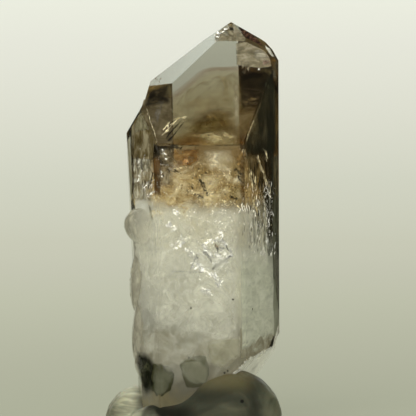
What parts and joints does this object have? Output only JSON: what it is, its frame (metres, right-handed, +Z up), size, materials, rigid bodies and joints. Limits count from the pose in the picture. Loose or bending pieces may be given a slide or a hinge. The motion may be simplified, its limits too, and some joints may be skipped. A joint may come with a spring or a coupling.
{
  "type": "phantom quartz point on mounting putty",
  "caption": "Six-sided clear quartz point with smoky phantom layers over a milky base, held upright in a lump of grey mounting putty.",
  "frame": {"origin": "on the ground, under the middle of the object's footprint", "axes": "+Z up along the point, -Y out of its broad front face, +X to its right as seen from the front"},
  "size_m": [0.0282, 0.0304, 0.0683],
  "materials": {
    "quartz": "glossy, clear at the tip, smoky in the middle, milky below",
    "putty": "soft, slightly glossy, translucent grey with pale swirls"
  },
  "bodies": {
    "root": {"crystal": "quartz", "putty": "putty"}
  },
  "joints": []
}
